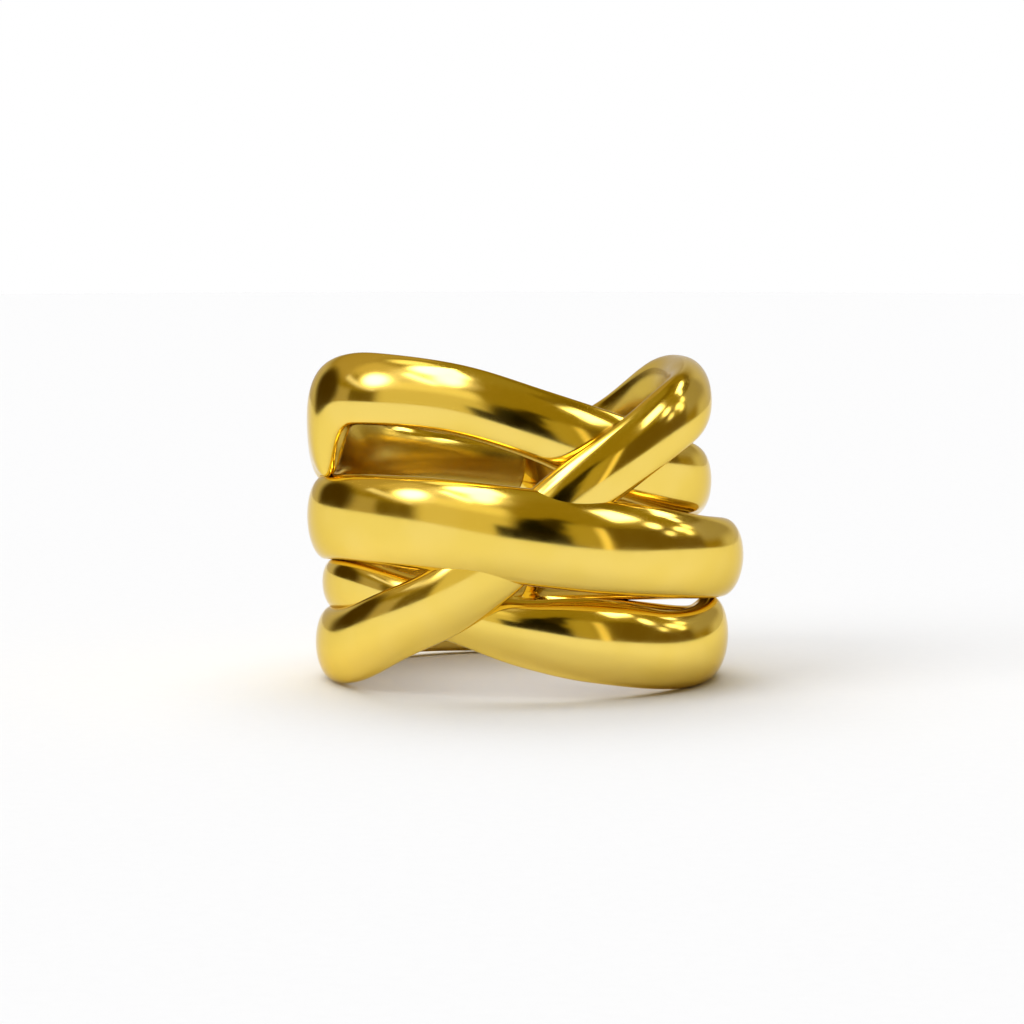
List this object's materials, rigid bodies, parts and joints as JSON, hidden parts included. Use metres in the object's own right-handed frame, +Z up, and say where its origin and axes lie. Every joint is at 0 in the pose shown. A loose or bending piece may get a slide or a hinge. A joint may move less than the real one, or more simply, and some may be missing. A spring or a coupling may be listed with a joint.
{
  "type": "adjustable open ring",
  "caption": "Polished finger ring of interlaced round strands that cross over one another at the front, with an open shank at the back.",
  "frame": {"origin": "middle of the ring's footprint, on the level of its lowest point, as it lies on its side with the bore up", "axes": "+Z up, along the bore to within its small lean; -Y towards the crossing front; +X to the right as seen from the front; the opening is at +Y"},
  "size_m": [0.0216, 0.0222, 0.0166],
  "materials": {
    "gold": "mirror polished, gold coloured"
  },
  "bodies": {
    "root": {"interlaced_band": "gold"}
  },
  "joints": []
}
